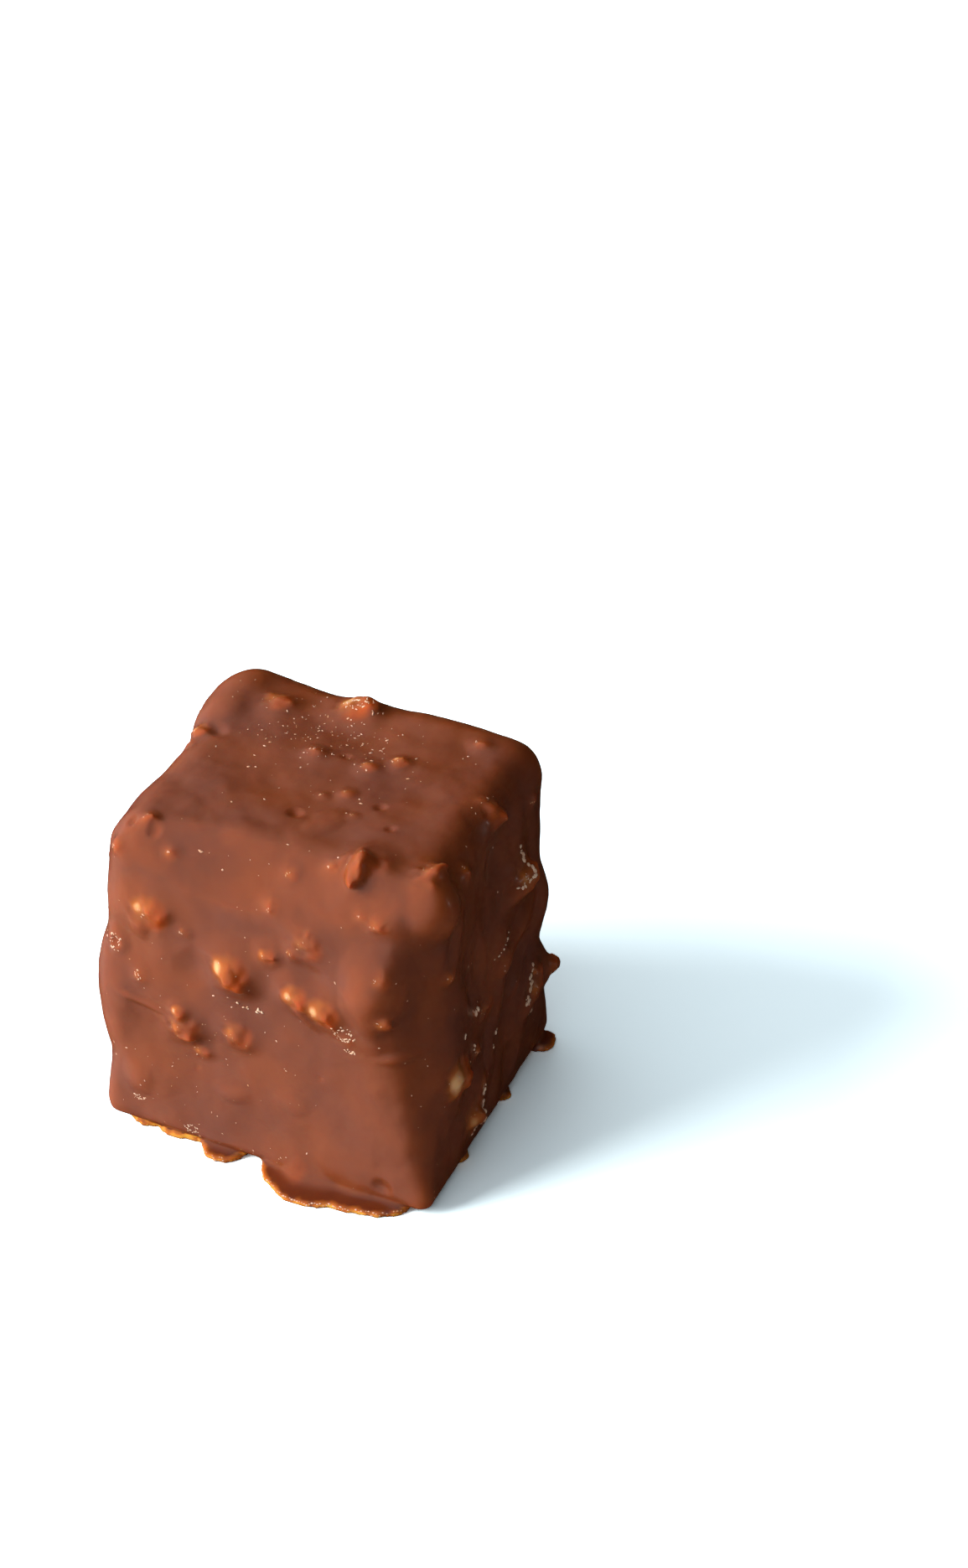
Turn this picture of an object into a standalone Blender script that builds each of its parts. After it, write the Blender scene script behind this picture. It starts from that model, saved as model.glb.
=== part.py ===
"""A hazelnut praline: one hand-cut block dipped in milk chocolate, lumpy with chopped nuts and standing on the thin
foot where the coating ran out and set. Lengths are in millimetres until the mesh is made. The origin is the middle of
the underside, +Z is up, -Y is the broad front and +X is the side next to it."""

import math

import bmesh
import bpy
from mathutils import Vector, noise

MM = 0.001

# Driving dimensions
WIDTH = 35.0  # along X
DEPTH = 30.4  # along Y
HEIGHT = 36.0  # from the surface it stands on to the flat of the top
STAND_OFF = 0.4  # the block's underside above that surface, where it sits in its foot
EDGE_ROUND = 4.2  # radius of the coated edges at the top
BASE_ROUND = 1.6  # radius of the coated edges at the bottom
ROUND_CHANGE = 0.6  # share of the height over which the edges go from the one radius to the other
GRID_CUTS = 25  # cuts across each side of the block

# How far each corner of the hand-cut block lies from a true box, as (x, y), keyed by its signs in X, Y and Z
CORNER_LEAN = {
    (-1, -1, -1): (-0.6, 0.6),
    (1, -1, -1): (0.3, -0.5),
    (1, 1, -1): (-0.7, 0.0),
    (-1, 1, -1): (0.0, -0.2),
    (-1, -1, 1): (1.1, 0.3),
    (1, -1, 1): (0.2, 1.0),
    (1, 1, 1): (-0.9, 0.9),
    (-1, 1, 1): (1.3, 0.8),
}

# Slow waves that the coating set with
WAVE_LENGTH = 9.0
WAVE_HEIGHT = 0.35

# Swells and hollows of the hand-cut block: where the middle is as (x, y, z), the radii across as (x, y, z), and how
# far it stands proud
SWELLS = [
    ((-15.2, 9.2, 33.2), (5.6, 7.2, 5.6), 1.9),
    ((-11.5, 13.5, 35.4), (7.5, 5.0, 4.0), 0.5),
    ((16.6, -10.5, 33.2), (3.4, 3.6, 4.2), 1.2),
    ((-17.4, -13.5, 18.0), (5.0, 6.0, 7.5), 1.0),
    ((-12.1, -14.6, 8.0), (4.4, 3.0, 4.2), 0.5),
    ((-9.0, -14.6, 17.5), (8.0, 4.0, 4.6), 0.5),
    ((-6.0, -14.6, 11.0), (6.0, 3.0, 2.6), -0.4),
    ((13.5, -14.6, 21.5), (5.0, 3.0, 4.0), 0.5),
    ((-13.0, -14.6, 23.5), (3.5, 3.0, 3.2), -0.4),
    ((17.4, 1.0, 18.0), (3.0, 2.6, 8.0), 0.7),
    ((17.4, -5.0, 22.0), (3.0, 2.4, 6.0), -0.6),
    ((17.4, 6.0, 10.0), (3.0, 3.0, 5.0), 0.7),
    ((17.0, 13.5, 18.0), (3.5, 3.5, 5.0), 0.9),
    ((17.6, -15.4, 18.5), (7.0, 6.5, 17.5), -2.5),
    ((-1.0, -15.4, 36.2), (17.0, 5.5, 5.0), -0.7),
    ((4.0, 15.0, 35.8), (10.0, 5.0, 4.0), 0.4),
]

# Lumps of nut under the coating, in the same form
NUT_LUMPS = [
    ((-2.3, 12.2, 35.6), (2.4, 2.1, 2.0), 1.1),
    ((-14.6, 2.4, 34.8), (1.7, 1.7, 1.7), 0.7),
    ((3.2, -5.8, 35.9), (2.2, 2.6, 1.5), 0.4),
    ((9.4, -10.9, 35.5), (1.8, 2.8, 2.0), 1.0),
    ((15.9, 3.0, 35.0), (2.4, 2.2, 2.4), 0.8),
    ((-10.9, -14.9, 27.6), (2.3, 1.8, 1.9), 1.0),
    ((-2.5, -14.9, 23.5), (2.2, 1.8, 2.0), 1.6),
    ((5.6, -14.8, 28.6), (1.5, 1.5, 1.9), 0.7),
    ((4.3, -14.9, 22.7), (1.8, 1.5, 1.7), 0.9),
    ((7.2, -14.8, 21.9), (1.9, 1.6, 1.8), 1.1),
    ((-7.8, -15.2, 15.2), (2.2, 1.6, 1.9), 0.8),
    ((-2.1, -14.8, 16.0), (1.6, 1.5, 2.1), 0.7),
    ((17.3, 6.2, 25.9), (1.8, 2.3, 2.3), 1.0),
    ((17.4, -9.2, 12.8), (1.8, 2.6, 2.3), 0.9),
    ((17.2, 13.6, 9.9), (2.4, 2.0, 2.1), 1.5),
    ((17.3, -5.6, 5.6), (1.8, 2.5, 2.3), 1.0),
    ((4.5, 15.4, 24.0), (2.3, 1.8, 2.1), 1.2),
    ((-7.0, 15.4, 14.5), (2.0, 1.8, 2.5), 1.2),
    ((8.8, 15.2, 9.0), (2.2, 1.8, 1.9), 1.0),
    ((-17.0, -2.0, 21.5), (1.8, 2.3, 2.2), 1.2),
    ((-17.2, 5.5, 12.0), (1.8, 2.0, 2.4), 1.1),
    ((-17.4, -7.0, 9.5), (1.8, 1.9, 1.9), 0.9),
]
OVERHANG_LIMIT = -0.5  # faces that look further down than this stay plain

# The foot is tucked in under the block, apart from the tongues where coating ran out:
# side, middle along that side, half length, reach beyond the block's edge
FOOT_RISE = 0.8
FOOT_TUCK = 1.6
FOOT_ROUND = 4.0
FOOT_STEP = 0.7
FOOT_RINGS = [(0.0, 0.15), (0.3, 0.0), (0.6, 0.15), (FOOT_RISE, 0.5)]  # height, inset of the rim there
SIDE_FACING = 0.6  # a tongue belongs to the stretch of the outline that looks this much its way
TONGUES = [
    ("front", 5.6, 5.6, 3.2),
    ("front", 9.5, 6.2, 2.6),
    ("front", -4.8, 2.5, 1.1),
    ("front", -9.6, 2.8, -0.5),
    ("front", -14.2, 2.4, -0.9),
    ("right", -6.0, 1.4, -0.2),
    ("right", 4.2, 1.4, -0.3),
    ("right", 13.2, 1.8, 0.5),
    ("back", 5.0, 4.6, 1.5),
    ("back", -7.5, 2.4, 0.9),
    ("left", -2.5, 4.2, 1.1),
    ("left", 7.5, 1.8, 0.5),
]

MILK_CHOCOLATE = (0.20, 0.046, 0.017, 1.0)


def chocolate_material():
    material = bpy.data.materials.new("milk_chocolate")
    material.use_nodes = True
    surface = material.node_tree.nodes["Principled BSDF"]
    surface.inputs["Base Color"].default_value = MILK_CHOCOLATE
    surface.inputs["Roughness"].default_value = 0.42
    surface.inputs["Metallic"].default_value = 0.0
    return material


def smooth_step(t):
    t = min(1.0, max(0.0, t))
    return t * t * (3.0 - 2.0 * t)


def lean_at(unit):
    """The corners' lean, spread smoothly over the block."""
    shift = Vector((0.0, 0.0, 0.0))
    for signs, lean in CORNER_LEAN.items():
        share = 1.0
        for axis in range(3):
            share *= (1.0 + signs[axis] * unit[axis]) / 2.0
        shift += share * Vector((lean[0], lean[1], 0.0))
    return shift


def rounded_block_point(unit):
    """Takes a point on the cube from -1 to 1 to the rounded block, and gives the outward direction there."""
    half = Vector((WIDTH / 2, DEPTH / 2, (HEIGHT - STAND_OFF) / 2))
    sharp = Vector(unit[i] * half[i] for i in range(3))
    radius = BASE_ROUND + (EDGE_ROUND - BASE_ROUND) * smooth_step((unit[2] + 1.0) / (2.0 * ROUND_CHANGE))
    core = Vector(max(radius - half[i], min(half[i] - radius, sharp[i])) for i in range(3))
    outward = (sharp - core).normalized()
    point = core + radius * outward + lean_at(unit)
    point.z += STAND_OFF + half.z
    return point, outward


def coating_rise(point):
    """How far the coating stands out from the plain block at a point."""
    rise = WAVE_HEIGHT * noise.noise(point / WAVE_LENGTH)
    for middle, radii, height in SWELLS + NUT_LUMPS:
        near = sum(((point[i] - middle[i]) / radii[i]) ** 2 for i in range(3))
        if near < 1.0:
            rise += height * (1.0 - near) ** 1.5
    return rise


def build_block():
    mesh = bmesh.new()
    bmesh.ops.create_cube(mesh, size=2.0)
    bmesh.ops.subdivide_edges(mesh, edges=mesh.edges, cuts=GRID_CUTS, use_grid_fill=True)
    for vertex in mesh.verts:
        point, outward = rounded_block_point(vertex.co)
        if outward.z > OVERHANG_LIMIT:
            point += outward * coating_rise(point)
        vertex.co = point * MM
    return mesh


def foot_outline():
    """Points round the base, each with its outward direction, a step apart on a rectangle with round corners."""
    straight_x = WIDTH / 2 - FOOT_ROUND
    straight_y = DEPTH / 2 - FOOT_ROUND
    sides = [
        (Vector((-straight_x, -DEPTH / 2, 0)), Vector((1, 0, 0)), 2 * straight_x),
        (Vector((WIDTH / 2, -straight_y, 0)), Vector((0, 1, 0)), 2 * straight_y),
        (Vector((straight_x, DEPTH / 2, 0)), Vector((-1, 0, 0)), 2 * straight_x),
        (Vector((-WIDTH / 2, straight_y, 0)), Vector((0, -1, 0)), 2 * straight_y),
    ]
    outline = []
    for start, along, length in sides:
        outward = Vector((along.y, -along.x, 0))
        steps = round(length / FOOT_STEP)
        for step in range(steps):
            outline.append((start + along * length * step / steps, outward))
        turns = round(FOOT_ROUND * math.pi / 2 / FOOT_STEP)
        centre = start + along * length - outward * FOOT_ROUND
        for turn in range(turns):
            angle = math.pi / 2 * turn / turns
            direction = outward * math.cos(angle) + along * math.sin(angle)
            outline.append((centre + direction * FOOT_ROUND, direction))
    return outline


def foot_reach(point, outward):
    """How far the foot reaches beyond the block's edge: it is tucked in where no tongue of coating ran out."""
    facing = {"front": -outward.y, "right": outward.x, "back": outward.y, "left": -outward.x}
    reach = -FOOT_TUCK
    for side, middle, half_length, tongue in TONGUES:
        along = point.x if side in ("front", "back") else point.y
        across = (along - middle) / half_length
        if facing[side] > SIDE_FACING and abs(across) < 1.0:
            reach = max(reach, (tongue + FOOT_TUCK) * math.sqrt(1.0 - across * across) - FOOT_TUCK)
    return reach


def build_foot():
    """The thin foot: a flat underside, a round rim and a flat top that the block sinks into."""
    outline = foot_outline()
    mesh = bmesh.new()
    made = []
    for height, inset in FOOT_RINGS:
        ring = []
        for point, outward in outline:
            place = point + outward * (foot_reach(point, outward) - inset)
            place.z = height
            ring.append(mesh.verts.new(place * MM))
        made.append(ring)
    count = len(outline)
    for lower, upper in zip(made, made[1:]):
        for i in range(count):
            mesh.faces.new((lower[i], lower[(i + 1) % count], upper[(i + 1) % count], upper[i]))
    mesh.faces.new(list(reversed(made[0])))
    mesh.faces.new(made[-1])
    return mesh


def add_object(name, mesh, material):
    bmesh.ops.recalc_face_normals(mesh, faces=mesh.faces)
    data = bpy.data.meshes.new(name)
    mesh.to_mesh(data)
    mesh.free()
    data.shade_smooth()
    data.set_sharp_from_angle(angle=math.radians(50))
    data.materials.append(material)
    made = bpy.data.objects.new(name, data)
    bpy.context.scene.collection.objects.link(made)
    return made


def main():
    for old in list(bpy.data.objects):
        bpy.data.objects.remove(old)
    material = chocolate_material()
    praline = add_object("praline", build_block(), material)
    foot = add_object("foot_shape", build_foot(), material)
    foot.hide_render = True
    foot.display_type = "WIRE"
    join = praline.modifiers.new("foot", "BOOLEAN")
    join.operation = "UNION"
    join.solver = "EXACT"
    join.object = foot


main()
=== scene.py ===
import math
import random

import bmesh
import bpy
import numpy as np
from mathutils import Matrix, Vector, noise
from mathutils.bvhtree import BVHTree


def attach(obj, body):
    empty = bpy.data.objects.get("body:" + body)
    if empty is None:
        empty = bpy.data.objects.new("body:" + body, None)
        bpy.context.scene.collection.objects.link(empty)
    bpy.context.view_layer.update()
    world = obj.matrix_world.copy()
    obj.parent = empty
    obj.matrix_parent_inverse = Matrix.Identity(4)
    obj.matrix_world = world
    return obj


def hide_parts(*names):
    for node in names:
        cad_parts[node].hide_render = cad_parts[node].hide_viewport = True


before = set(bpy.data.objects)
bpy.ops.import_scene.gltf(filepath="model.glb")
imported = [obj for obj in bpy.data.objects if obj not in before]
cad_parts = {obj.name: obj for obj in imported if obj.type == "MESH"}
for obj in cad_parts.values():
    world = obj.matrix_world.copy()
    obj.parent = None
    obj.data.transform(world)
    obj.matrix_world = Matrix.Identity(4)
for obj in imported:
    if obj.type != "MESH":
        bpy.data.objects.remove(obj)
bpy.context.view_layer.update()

mm = 0.001
print("praline: frame loaded")

# the dipped block, sizes in mm
block = {
    "width": 35.0,
    "pitDepthAndShade": 30.4,
    "height": 36.0,
    "standOff": 0.4,
    "edgeRound": 4.2,
    "baseRound": 1.6,
    "roundChange": 0.4,  # share of the height over which the edge radius changes
    "cuts": 70,
    "waveLength": 9.0,
    "waveHeight": 0.35,
    "swellFade": 1.5,  # a higher number fades towards the rim sooner
    "wearFade": 2.4,
    "underside": -0.5,  # nothing swells where the surface faces further down than this
    # how far each hand-cut corner sits from a true box
    "lean": {
        (-1, -1, -1): (-0.6, 0.6),
        (1, -1, -1): (0.3, -0.5),
        (1, 1, -1): (-0.7, 0.0),
        (-1, 1, -1): (0.0, -0.2),
        (-1, -1, 1): (1.1, 0.3),
        (1, -1, 1): (0.2, 1.0),
        (1, 1, 1): (-0.9, 0.9),
        (-1, 1, 1): (1.3, 0.8),
    },
    # broad swells and hollows: middle, radii, how far they stand out
    "swells": [
        ((-15.2, 9.2, 33.2), (5.6, 7.2, 5.6), 1.9),
        ((-11.5, 13.5, 35.4), (7.5, 5.0, 4.0), 0.5),
        ((16.6, -10.5, 33.2), (3.4, 3.6, 4.2), 1.2),
        ((-17.4, -13.5, 16.0), (5.0, 6.0, 8.0), 1.3),
        ((-12.1, -14.6, 8.0), (4.4, 3.0, 4.2), 0.5),
        ((-9.0, -14.6, 17.5), (8.0, 4.0, 4.6), 0.5),
        ((-6.0, -14.6, 11.0), (6.0, 3.0, 2.6), -0.4),
        ((12.0, -14.6, 24.0), (5.5, 3.5, 7.0), 0.9),
        ((-13.0, -14.6, 23.5), (3.5, 3.0, 3.2), -0.4),
        ((17.4, 1.0, 18.0), (3.0, 2.6, 8.0), 0.7),
        ((17.4, -5.0, 22.0), (3.0, 2.4, 6.0), -0.6),
        ((17.4, 6.0, 10.0), (3.0, 3.0, 5.0), 0.7),
        ((17.0, 13.5, 18.0), (3.5, 3.5, 5.0), 0.9),
        ((4.0, 15.0, 35.8), (10.0, 5.0, 4.0), 0.4),
    ],
    # edges worn softer than the rest
    "wear": [
        ((18.2, -15.8, 20.5), (7.2, 7.5, 19.0), -2.5),
        ((1.0, -15.4, 36.2), (15.0, 7.0, 6.5), -1.3),
    ],
}


def smoothStep(t):
    t = min(1.0, max(0.0, t))
    return t * t * (3.0 - 2.0 * t)


def blockPoint(unit):
    # a point of the -1 to 1 cube, taken to the rounded, leaning block
    half = Vector((block["width"] / 2, block["pitDepthAndShade"] / 2, (block["height"] - block["standOff"]) / 2))
    sharp = Vector(unit[i] * half[i] for i in range(3))
    change = smoothStep((unit[2] + 1.0) / (2.0 * block["roundChange"]))
    radius = block["baseRound"] + (block["edgeRound"] - block["baseRound"]) * change
    core = Vector(max(radius - half[i], min(half[i] - radius, sharp[i])) for i in range(3))
    outward = (sharp - core).normalized()
    point = core + radius * outward
    for signs, lean in block["lean"].items():
        share = (1 + signs[0] * unit[0]) * (1 + signs[1] * unit[1]) * (1 + signs[2] * unit[2]) / 8.0
        point.x += share * lean[0]
        point.y += share * lean[1]
    point.z += block["standOff"] + half.z
    return point, outward


def swellAt(point):
    rise = block["waveHeight"] * noise.noise(point / block["waveLength"])
    for kind, fade in (("swells", block["swellFade"]), ("wear", block["wearFade"])):
        for middle, radii, height in block[kind]:
            near = sum(((point[i] - middle[i]) / radii[i]) ** 2 for i in range(3))
            if near < 1.0:
                rise += height * (1.0 - near) ** fade
    return rise


def makeBlock():
    # an evenly cut cube, every point of it taken to its place
    bm = bmesh.new()
    bmesh.ops.create_cube(bm, size=2.0)
    bmesh.ops.subdivide_edges(bm, edges=bm.edges, cuts=block["cuts"], use_grid_fill=True)
    for vert in bm.verts:
        point, outward = blockPoint(vert.co)
        if outward.z > block["underside"]:
            point += outward * swellAt(point)
        vert.co = point
    return bm


# chopped nuts under the coating, on each side: across, up (or back on the top), length, breadth, how proud,
# turn, and how thin the coating is over it, which also sets how strong its painted highlight is
nuts = {
    "seed": 11,
    "tilt": 20.0,  # the left end of each stands higher
    "showing": 0.82,  # share of its height that stands out before the coating swells round it
    # a chip is balls cut flat by breaks
    "ball": 1.15,
    "breaks": 7,
    "breakDepth": (0.6, 0.92),
    "breakTilt": 0.7,  # a lower number makes the breaks steeper
    "thickness": (1.8, 0.8),  # at least these shares of how proud and how broad the chip is
    "oneBall": 1.8,  # longer chips are a middle ball and two end balls
    "middleBall": 0.78,
    "middleOffset": 0.05,
    "endBall": (0.5, 0.72),
    "endOffset": 0.6,
    "endAside": (-0.45, 0.45),
    "endUp": (-0.3, 0.1),
    "front": [
        (-10.9, 27.6, 4.4, 3.0, 0.9, 20, 0.75),
        (-7.2, 26.3, 1.2, 0.9, 0.25, 80, 0.3),
        (-12.1, 19.9, 1.6, 1.0, 0.3, 80, 0.3),
        (-8.6, 34.2, 1.2, 1.1, 0.35, 0, 0.3),
        (-2.5, 23.5, 4.0, 3.2, 1.5, -35, 0.88),
        (1.4, 26.4, 2.0, 1.5, 0.6, -10, 0.5),
        (3.0, 34.2, 1.3, 1.2, 0.35, 0, 0.3),
        (5.6, 28.6, 3.6, 2.0, 0.8, 78, 0.3),
        (4.3, 22.7, 2.8, 2.2, 0.9, -20, 0.8),
        (7.2, 21.9, 3.4, 2.6, 1.2, -35, 0.8),
        (9.2, 19.4, 2.0, 1.4, 0.35, 10, 0.1),
        (-8.0, 17.1, 1.5, 1.3, 0.5, 0, 0.8),
        (-7.8, 15.2, 3.4, 2.6, 0.9, -50, 0.35),
        (-2.1, 16.0, 3.6, 1.9, 0.8, -65, 0.4),
        (-6.3, 12.3, 2.0, 1.3, 0.45, -10, 0.5),
        (13.4, 22.4, 1.6, 1.4, 0.4, 0, 0.4),
        (13.3, 27.2, 2.0, 1.2, 0.4, 85, 0.25),
        (12.7, 32.9, 2.2, 1.7, 0.6, -20, 0.2),
        (10.8, 33.2, 1.1, 1.0, 0.3, 0, 0.2),
        (3.0, 1.8, 3.4, 2.8, 0.4, 60, 0.0),
    ],
    "top": [
        (-2.3, 11.6, 4.2, 3.2, 1.3, 0, 0.85),
        (-9.6, 9.4, 3.2, 2.2, 0.7, 10, 0.4),
        (-14.7, 3.0, 2.0, 1.6, 0.7, 0, 0.8),
        (3.1, 3.3, 2.0, 1.5, 0.5, 20, 0.55),
        (5.5, 5.0, 1.7, 1.3, 0.5, 20, 0.9),
        (3.1, -1.2, 1.7, 0.9, 0.3, 80, 0.5),
        (1.2, -2.3, 0.9, 0.8, 0.2, 0, 0.3),
        (5.2, -4.2, 0.9, 0.7, 0.25, 60, 0.3),
        (6.8, -11.6, 1.4, 1.2, 0.4, 0, 0.2),
        (9.4, -10.9, 5.2, 2.8, 1.2, -72, 0.12),
        (15.8, -9.6, 3.4, 2.6, 0.9, 60, 0.15),
        (16.0, 3.0, 3.4, 2.6, 0.9, 20, 0.2),
        (17.0, -5.0, 1.4, 1.2, 0.4, 0, 0.5),
        (11.2, 11.0, 1.6, 1.4, 0.35, 0, 0.2),
    ],
    "right": [
        (6.2, 25.9, 4.0, 2.6, 1.3, 20, 0.5),
        (-9.2, 12.8, 5.0, 3.2, 1.0, -40, 0.92),
        (-4.1, 17.0, 1.6, 1.3, 0.4, 0, 0.4),
        (9.4, 10.4, 4.0, 2.4, 1.0, 40, 0.4),
        (13.6, 9.8, 2.8, 2.2, 1.5, 0, 0.1),
        (-5.6, 5.4, 4.8, 3.2, 1.2, -30, 0.6),
        (-3.0, 7.6, 2.8, 1.2, 0.5, 85, 0.3),
        (-4.2, 12.4, 1.2, 1.1, 0.4, 0, 0.5),
        (-2.0, 15.8, 3.0, 1.8, 0.6, 80, 0.2),
    ],
    "back": [],
    "left": [],
    # loose ones besides: how many, and their sizes
    "looseOnVisible": 3,
    "looseOnHidden": 22,
    "bigLength": (2.8, 4.6),
    "smallLength": (1.0, 1.9),
    "breadthShare": (0.6, 0.85),
    "proudShare": (0.20, 0.32),
    "bigThin": (0.1, 0.75),
    "smallThin": (0.0, 0.4),
    "margin": 2.0,
    "cornerMargin": 5.0,
}

rayStart = 12.0  # how far outside a side a spot on it is looked for from
sideShare = 0.6  # how much a spot's outward direction keeps to its side's own


def sideFrame(side):
    # origin, across, up and outward axis of one side of the block
    x, y = block["width"] / 2, block["pitDepthAndShade"] / 2
    return {
        "front": (Vector((0, -y, 0)), Vector((1, 0, 0)), Vector((0, 0, 1)), Vector((0, -1, 0))),
        "back": (Vector((0, y, 0)), Vector((-1, 0, 0)), Vector((0, 0, 1)), Vector((0, 1, 0))),
        "right": (Vector((x, 0, 0)), Vector((0, 1, 0)), Vector((0, 0, 1)), Vector((1, 0, 0))),
        "left": (Vector((-x, 0, 0)), Vector((0, -1, 0)), Vector((0, 0, 1)), Vector((-1, 0, 0))),
        "top": (Vector((0, 0, block["height"])), Vector((1, 0, 0)), Vector((0, 1, 0)), Vector((0, 0, 1))),
    }[side]


def landing(surface, side, across, up):
    # where something sits on a surface, and the outward direction there
    origin, a, b, outward = sideFrame(side)
    start = origin + a * across + b * up + outward * rayStart
    spot, normal, _, _ = surface.ray_cast(start, -outward)
    if spot is None:
        spot, normal, _, _ = surface.find_nearest(start - outward * rayStart)
    return spot, (normal + outward * sideShare).normalized()


def chipOfNut(bm, chance, spot, outward, lean, along, length, breadth, proud):
    # one chip, sunk so that it stands proud by the given height
    thick = max(proud * nuts["thickness"][0], breadth * nuts["thickness"][1])
    side = lean.cross(along).normalized()
    along = side.cross(lean).normalized()
    turn = Matrix((along, side, lean)).transposed().to_4x4()
    size = Matrix.Diagonal((length / 2, breadth / 2, thick / 2, 1))
    middle = Matrix.Translation(spot + outward * (proud - thick / 2))
    pieces = [(Vector((0, 0, 0)), 1.0)]
    if length > nuts["oneBall"]:
        pieces = [(Vector((nuts["middleOffset"], 0, 0)), nuts["middleBall"])]
        for way in (-1, 1):
            aside, up = chance.uniform(*nuts["endAside"]), chance.uniform(*nuts["endUp"])
            offset = Vector((way * nuts["endOffset"], aside, up))
            pieces.append((offset, chance.uniform(*nuts["endBall"])))
    for offset, scale in pieces:
        chip = bmesh.new()
        bmesh.ops.create_icosphere(chip, subdivisions=2, radius=nuts["ball"])
        for _ in range(nuts["breaks"]):
            facing = Vector((chance.gauss(0, 1), chance.gauss(0, 1), chance.gauss(0, nuts["breakTilt"])))
            facing.normalize()
            cut = bmesh.ops.bisect_plane(
                chip, geom=chip.verts[:] + chip.edges[:] + chip.faces[:],
                plane_co=facing * chance.uniform(*nuts["breakDepth"]), plane_no=facing, clear_outer=True,
            )
            rim = [part for part in cut["geom_cut"] if isinstance(part, bmesh.types.BMEdge)]
            bmesh.ops.holes_fill(chip, edges=rim)
        place = middle @ turn @ size @ Matrix.Translation(offset) @ Matrix.Scale(scale, 4)
        bmesh.ops.transform(chip, matrix=place, verts=chip.verts)
        made = bpy.data.meshes.new("chip")
        chip.to_mesh(made)
        chip.free()
        bm.from_mesh(made)
        bpy.data.meshes.remove(made)


def makeChips(surface):
    # every lump of nut as one mesh, and where each one lies
    chance = random.Random(nuts["seed"])
    bm = bmesh.new()
    lying = []
    for side in ("front", "top", "right", "back", "left"):
        placed = [list(entry) for entry in nuts[side]]
        hidden = side in ("back", "left")
        reach = block["pitDepthAndShade"] / 2 if side in ("right", "left") else block["width"] / 2
        margin = nuts["margin"]
        low, high = margin, block["height"] - margin
        if side == "top":
            low, high = margin - block["pitDepthAndShade"] / 2, block["pitDepthAndShade"] / 2 - margin
        for count in range(nuts["looseOnHidden"] if hidden else nuts["looseOnVisible"]):
            big = hidden and count % 2 == 0
            length = chance.uniform(*nuts["bigLength" if big else "smallLength"])
            across = min(chance.uniform(margin - reach, reach - margin), reach - nuts["cornerMargin"])
            up = min(chance.uniform(low, high), high - nuts["cornerMargin"] * hidden)
            breadth = length * chance.uniform(*nuts["breadthShare"])
            proud = length * chance.uniform(*nuts["proudShare"])
            turn = chance.uniform(0, 180)
            thinAndHighlight = chance.uniform(*nuts["bigThin" if big else "smallThin"])
            placed.append([across, up, length, breadth, proud, turn, thinAndHighlight])
        for across, up, length, breadth, proud, turn, thinAndHighlight in placed:
            spot, outward = landing(surface, side, across, up)
            _, a, b, _ = sideFrame(side)
            lean = Matrix.Rotation(-math.radians(nuts["tilt"]), 3, b) @ outward
            along = Matrix.Rotation(math.radians(turn), 3, outward) @ a
            showing = proud * nuts["showing"]
            chipOfNut(bm, chance, spot, outward, lean, along, length, breadth, showing)
            lying.append((side, across, up, spot, outward, (length + breadth) / 4, proud, thinAndHighlight))
    return bm, lying


# the foot where the coating ran out: tongues are side, middle, half length, reach past the block
foot = {
    "tuck": 1.6,  # how far inside the block the rim lies between the tongues
    "cornerRound": 4.0,
    "step": 0.25,
    "wobbles": [(1.6, 0.30), (0.6, 0.16)],  # length and height of the waves in its rim
    "facing": 0.6,  # how squarely the rim faces a side where it carries that side's tongues
    # light coming through the rim, painted on as a glow: how far in, below which height, and how much and
    # how often that varies
    "glowWidth": 0.32,
    "glowBelow": 0.9,
    "glowChange": 0.8,
    "glowLength": 0.7,
    "darkBelow": 1.15,  # the foot is dark up to here, partly its own colour and partly painted shade under the body
    "darkFade": 0.35,
    # height and inset of each ring, from the floor up to where it runs into the body
    "rings": [
        (0.0, 0.10), (0.22, 0.0), (0.42, 0.08), (0.56, 0.4),
        (0.68, 1.1), (0.95, 2.1), (1.6, 3.3), (2.8, 4.4),
    ],
    "tongues": [
        ("front", 5.3, 5.9, 3.2),
        ("front", 9.5, 6.2, 2.6),
        ("front", -4.8, 2.5, 1.1),
        ("front", -9.6, 2.8, -0.5),
        ("front", -14.2, 2.4, -0.9),
        ("right", -6.0, 1.4, -0.2),
        ("right", 4.2, 1.4, -0.3),
        ("right", 13.2, 1.7, 1.3),
        ("back", 5.0, 4.6, 1.5),
        ("back", -7.5, 2.4, 0.9),
        ("left", -2.5, 4.2, 1.1),
        ("left", 7.5, 1.8, 0.5),
    ],
}


def footOutline():
    # points round the base with their outward directions, on a rectangle with round corners
    r = foot["cornerRound"]
    x, y = block["width"] / 2, block["pitDepthAndShade"] / 2
    sides = [
        (Vector((r - x, -y, 0)), Vector((1, 0, 0)), 2 * (x - r)),
        (Vector((x, r - y, 0)), Vector((0, 1, 0)), 2 * (y - r)),
        (Vector((x - r, y, 0)), Vector((-1, 0, 0)), 2 * (x - r)),
        (Vector((-x, y - r, 0)), Vector((0, -1, 0)), 2 * (y - r)),
    ]
    outline = []
    for start, along, length in sides:
        outward = Vector((along.y, -along.x, 0))
        steps = round(length / foot["step"])
        outline += [(start + along * length * i / steps, outward) for i in range(steps)]
        turns = round(r * math.pi / 2 / foot["step"])
        centre = start + along * length - outward * r
        for i in range(turns):
            angle = math.pi / 2 * i / turns
            direction = outward * math.cos(angle) + along * math.sin(angle)
            outline.append((centre + direction * r, direction))
    return outline


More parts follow.
